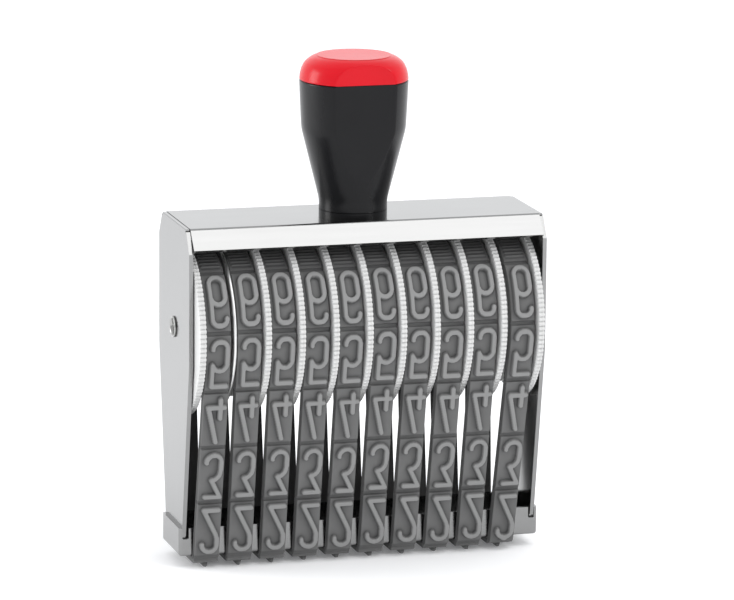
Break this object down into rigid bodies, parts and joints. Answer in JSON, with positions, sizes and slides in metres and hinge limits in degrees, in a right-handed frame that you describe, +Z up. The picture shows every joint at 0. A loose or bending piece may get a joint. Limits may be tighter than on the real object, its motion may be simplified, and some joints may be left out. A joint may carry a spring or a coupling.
{
  "type": "rotary number stamp",
  "caption": "Hand stamp with rubber number bands on knurled thumb wheels, set side by side in a steel frame under a tapered handle with a domed cap",
  "frame": {"origin": "on the table, under the middle of the printing characters", "axes": "+Z up along the handle; +X along the wheel axle towards the last band; -Y is the front, where the characters read"},
  "size_m": [0.1374, 0.065, 0.186],
  "materials": {
    "frame_steel": "polished nickel-plated sheet",
    "wheel_white": "satin white moulded plastic, knurled rim",
    "axle_steel": "turned steel",
    "band_rubber": "matt moulded rubber",
    "handle_black": "satin moulded plastic",
    "cap_red": "satin-gloss moulded plastic"
  },
  "bodies": {
    "frame": {"end_plate_left": "frame_steel", "end_plate_right": "frame_steel", "roof_cover": "frame_steel", "band_tray": "frame_steel", "axle": "axle_steel", "guide_disc": "frame_steel", "wheel_spacer": "axle_steel", "end_washer": "axle_steel", "handle_stud": "axle_steel", "handle_washer": "axle_steel", "handle_nut": "axle_steel", "band_01": "band_rubber", "band_02": "band_rubber", "band_03": "band_rubber", "band_04": "band_rubber", "band_05": "band_rubber", "band_06": "band_rubber", "band_07": "band_rubber", "band_08": "band_rubber", "band_09": "band_rubber", "band_10": "band_rubber", "handle_collar": "handle_black", "handle_body": "handle_black", "handle_cap": "cap_red"},
    "wheel_01_body": {"wheel_01": "wheel_white"},
    "wheel_02_body": {"wheel_02": "wheel_white"},
    "wheel_03_body": {"wheel_03": "wheel_white"},
    "wheel_04_body": {"wheel_04": "wheel_white"},
    "wheel_05_body": {"wheel_05": "wheel_white"},
    "wheel_06_body": {"wheel_06": "wheel_white"},
    "wheel_07_body": {"wheel_07": "wheel_white"},
    "wheel_08_body": {"wheel_08": "wheel_white"},
    "wheel_09_body": {"wheel_09": "wheel_white"},
    "wheel_10_body": {"wheel_10": "wheel_white"}
  },
  "joints": [
    {"name": "wheel_01_turn", "type": "hinge", "parent": "frame", "child": "wheel_01_body", "pos_m": [0, 0, 0.088], "axis": [1, 0, 0], "continuous": true},
    {"name": "wheel_02_turn", "type": "hinge", "parent": "frame", "child": "wheel_02_body", "pos_m": [0, 0, 0.088], "axis": [1, 0, 0], "continuous": true},
    {"name": "wheel_03_turn", "type": "hinge", "parent": "frame", "child": "wheel_03_body", "pos_m": [0, 0, 0.088], "axis": [1, 0, 0], "continuous": true},
    {"name": "wheel_04_turn", "type": "hinge", "parent": "frame", "child": "wheel_04_body", "pos_m": [0, 0, 0.088], "axis": [1, 0, 0], "continuous": true},
    {"name": "wheel_05_turn", "type": "hinge", "parent": "frame", "child": "wheel_05_body", "pos_m": [0, 0, 0.088], "axis": [1, 0, 0], "continuous": true},
    {"name": "wheel_06_turn", "type": "hinge", "parent": "frame", "child": "wheel_06_body", "pos_m": [0, 0, 0.088], "axis": [1, 0, 0], "continuous": true},
    {"name": "wheel_07_turn", "type": "hinge", "parent": "frame", "child": "wheel_07_body", "pos_m": [0, 0, 0.088], "axis": [1, 0, 0], "continuous": true},
    {"name": "wheel_08_turn", "type": "hinge", "parent": "frame", "child": "wheel_08_body", "pos_m": [0, 0, 0.088], "axis": [1, 0, 0], "continuous": true},
    {"name": "wheel_09_turn", "type": "hinge", "parent": "frame", "child": "wheel_09_body", "pos_m": [0, 0, 0.088], "axis": [1, 0, 0], "continuous": true},
    {"name": "wheel_10_turn", "type": "hinge", "parent": "frame", "child": "wheel_10_body", "pos_m": [0, 0, 0.088], "axis": [1, 0, 0], "continuous": true}
  ]
}
